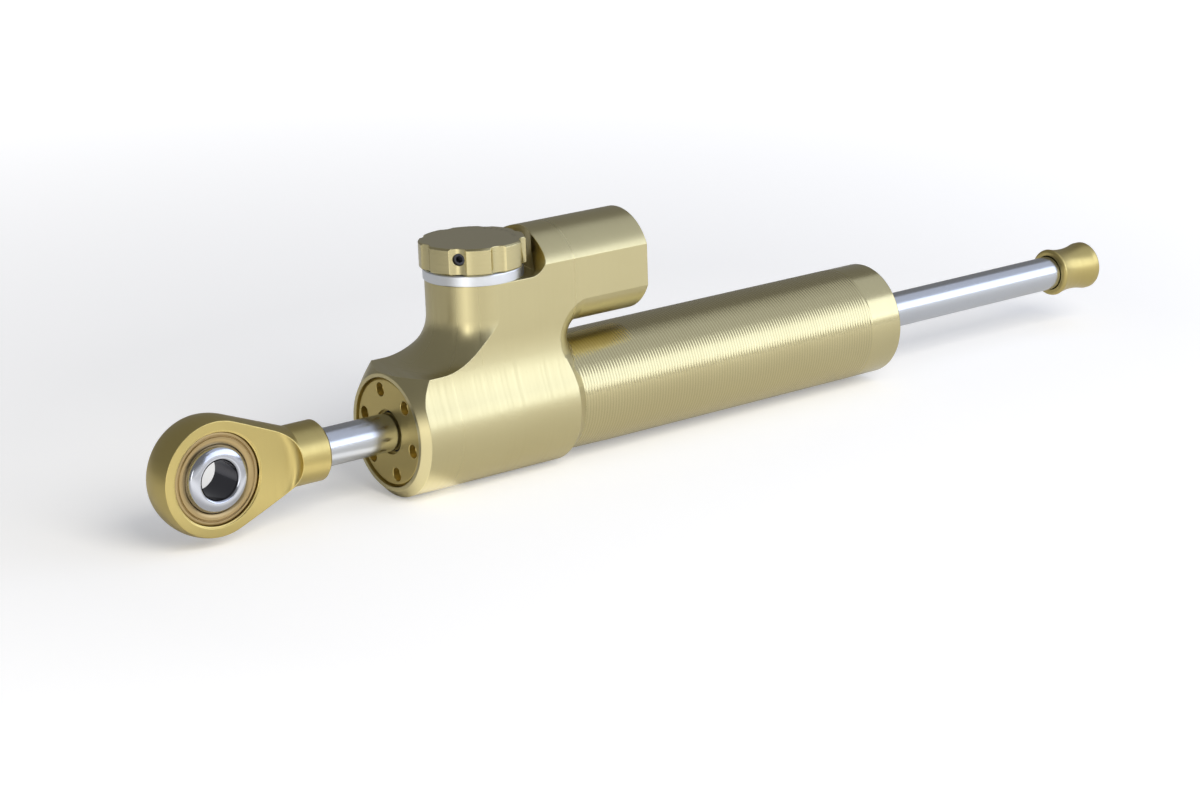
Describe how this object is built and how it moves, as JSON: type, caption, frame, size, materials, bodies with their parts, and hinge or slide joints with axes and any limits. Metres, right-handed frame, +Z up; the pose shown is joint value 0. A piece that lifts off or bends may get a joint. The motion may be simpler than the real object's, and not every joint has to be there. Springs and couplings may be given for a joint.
{
  "type": "steering damper",
  "caption": "Through-rod hydraulic steering damper with a ball-joint rod end, milled head, click adjuster knob and side reservoir.",
  "frame": {"origin": "centre of the ball in the rod end", "axes": "+X along the rod from the rod end to the rear end cap, +Y along the bolt hole of the rod end, +Z up the adjuster tower"},
  "size_m": [0.2605, 0.0278, 0.0514],
  "materials": {
    "gold_satin": "satin champagne-gold anodised",
    "gold_matte": "fine matte gold anodised",
    "pale_ring": "satin clear anodised",
    "chrome_rod": "polished hard chrome",
    "steel": "ground and polished",
    "dark_steel": "blackened",
    "bronze": "turned bronze",
    "brass": "turned",
    "rubber": "matte",
    "slide_plastic": "smooth"
  },
  "bodies": {
    "housing": {"head_block": "gold_satin", "damper_tube": "gold_satin", "inner_cylinder": "steel", "cylinder_oring": "rubber", "front_gland": "gold_matte", "front_gland_oring": "rubber", "front_bush": "bronze", "front_rod_seal": "rubber", "front_wiper": "rubber", "rear_gland": "gold_matte", "rear_gland_oring": "rubber", "rear_bush": "bronze", "rear_rod_seal": "rubber", "rear_wiper": "rubber", "adjuster_bush": "brass", "adjuster_bush_oring": "rubber", "shaft_oring": "rubber", "tower_ring": "pale_ring", "valve_seat": "brass", "detent_spring": "dark_steel", "relief_seat": "brass", "relief_spring": "dark_steel", "reservoir_lid": "gold_satin", "reservoir_lid_oring": "rubber", "reservoir_circlip": "dark_steel", "gas_plug": "dark_steel"},
    "piston_ring": {"piston_band": "slide_plastic"},
    "rod": {"piston_rod": "chrome_rod", "rod_end_housing": "gold_matte", "rod_end_race": "bronze", "piston": "steel", "piston_circlips": "dark_steel", "piston_oring": "rubber", "rear_end_cap": "gold_matte"},
    "ball": {"rod_end_ball": "steel"},
    "knob": {"adjuster_knob": "gold_satin", "knob_set_screw": "dark_steel", "adjuster_shaft": "steel", "shaft_circlip": "dark_steel"},
    "needle": {"needle_valve": "steel"},
    "detent": {"detent_ball": "steel"},
    "poppet": {"relief_poppet": "steel"},
    "gas_piston": {"floating_piston": "slide_plastic", "floating_piston_oring": "rubber"}
  },
  "joints": [
    {"name": "rod_slide", "type": "slide", "parent": "housing", "child": "piston_ring", "axis": [1, 0, 0], "range_m": [-0.06, 0.015]},
    {"name": "rod_spin", "type": "hinge", "parent": "piston_ring", "child": "rod", "pos_m": [0.138, 0, 0], "axis": [1, 0, 0], "continuous": true},
    {"name": "ball_tilt", "type": "hinge", "parent": "rod", "child": "ball", "pos_m": [0, 0, 0], "axis": [0, 0, 1], "range_deg": [-12, 12]},
    {"name": "knob_turn", "type": "hinge", "parent": "housing", "child": "knob", "pos_m": [0.0653, 0, 0.034], "axis": [0, 0, 1], "range_deg": [-150, 150]},
    {"name": "needle_lift", "type": "slide", "parent": "housing", "child": "needle", "axis": [0, 0, 1], "range_m": [-0.000416, 0.000416]},
    {"name": "detent_lift", "type": "slide", "parent": "housing", "child": "detent", "axis": [0, 0, 1], "range_m": [0, 0.00035], "stiffness_N_per_m": 400, "springref_m": 0.0015, "deforming": ["detent_spring"]},
    {"name": "poppet_lift", "type": "slide", "parent": "housing", "child": "poppet", "axis": [0, 0, 1], "range_m": [0, 0.001], "stiffness_N_per_m": 1200, "springref_m": -0.001, "deforming": ["relief_spring"]},
    {"name": "gas_piston_slide", "type": "slide", "parent": "housing", "child": "gas_piston", "axis": [1, 0, 0], "range_m": [-0.004, 0.004]}
  ],
  "couplings": [
    {"joint": "knob_turn", "follows": "needle_lift", "rad_per_m": 6283.2}
  ]
}
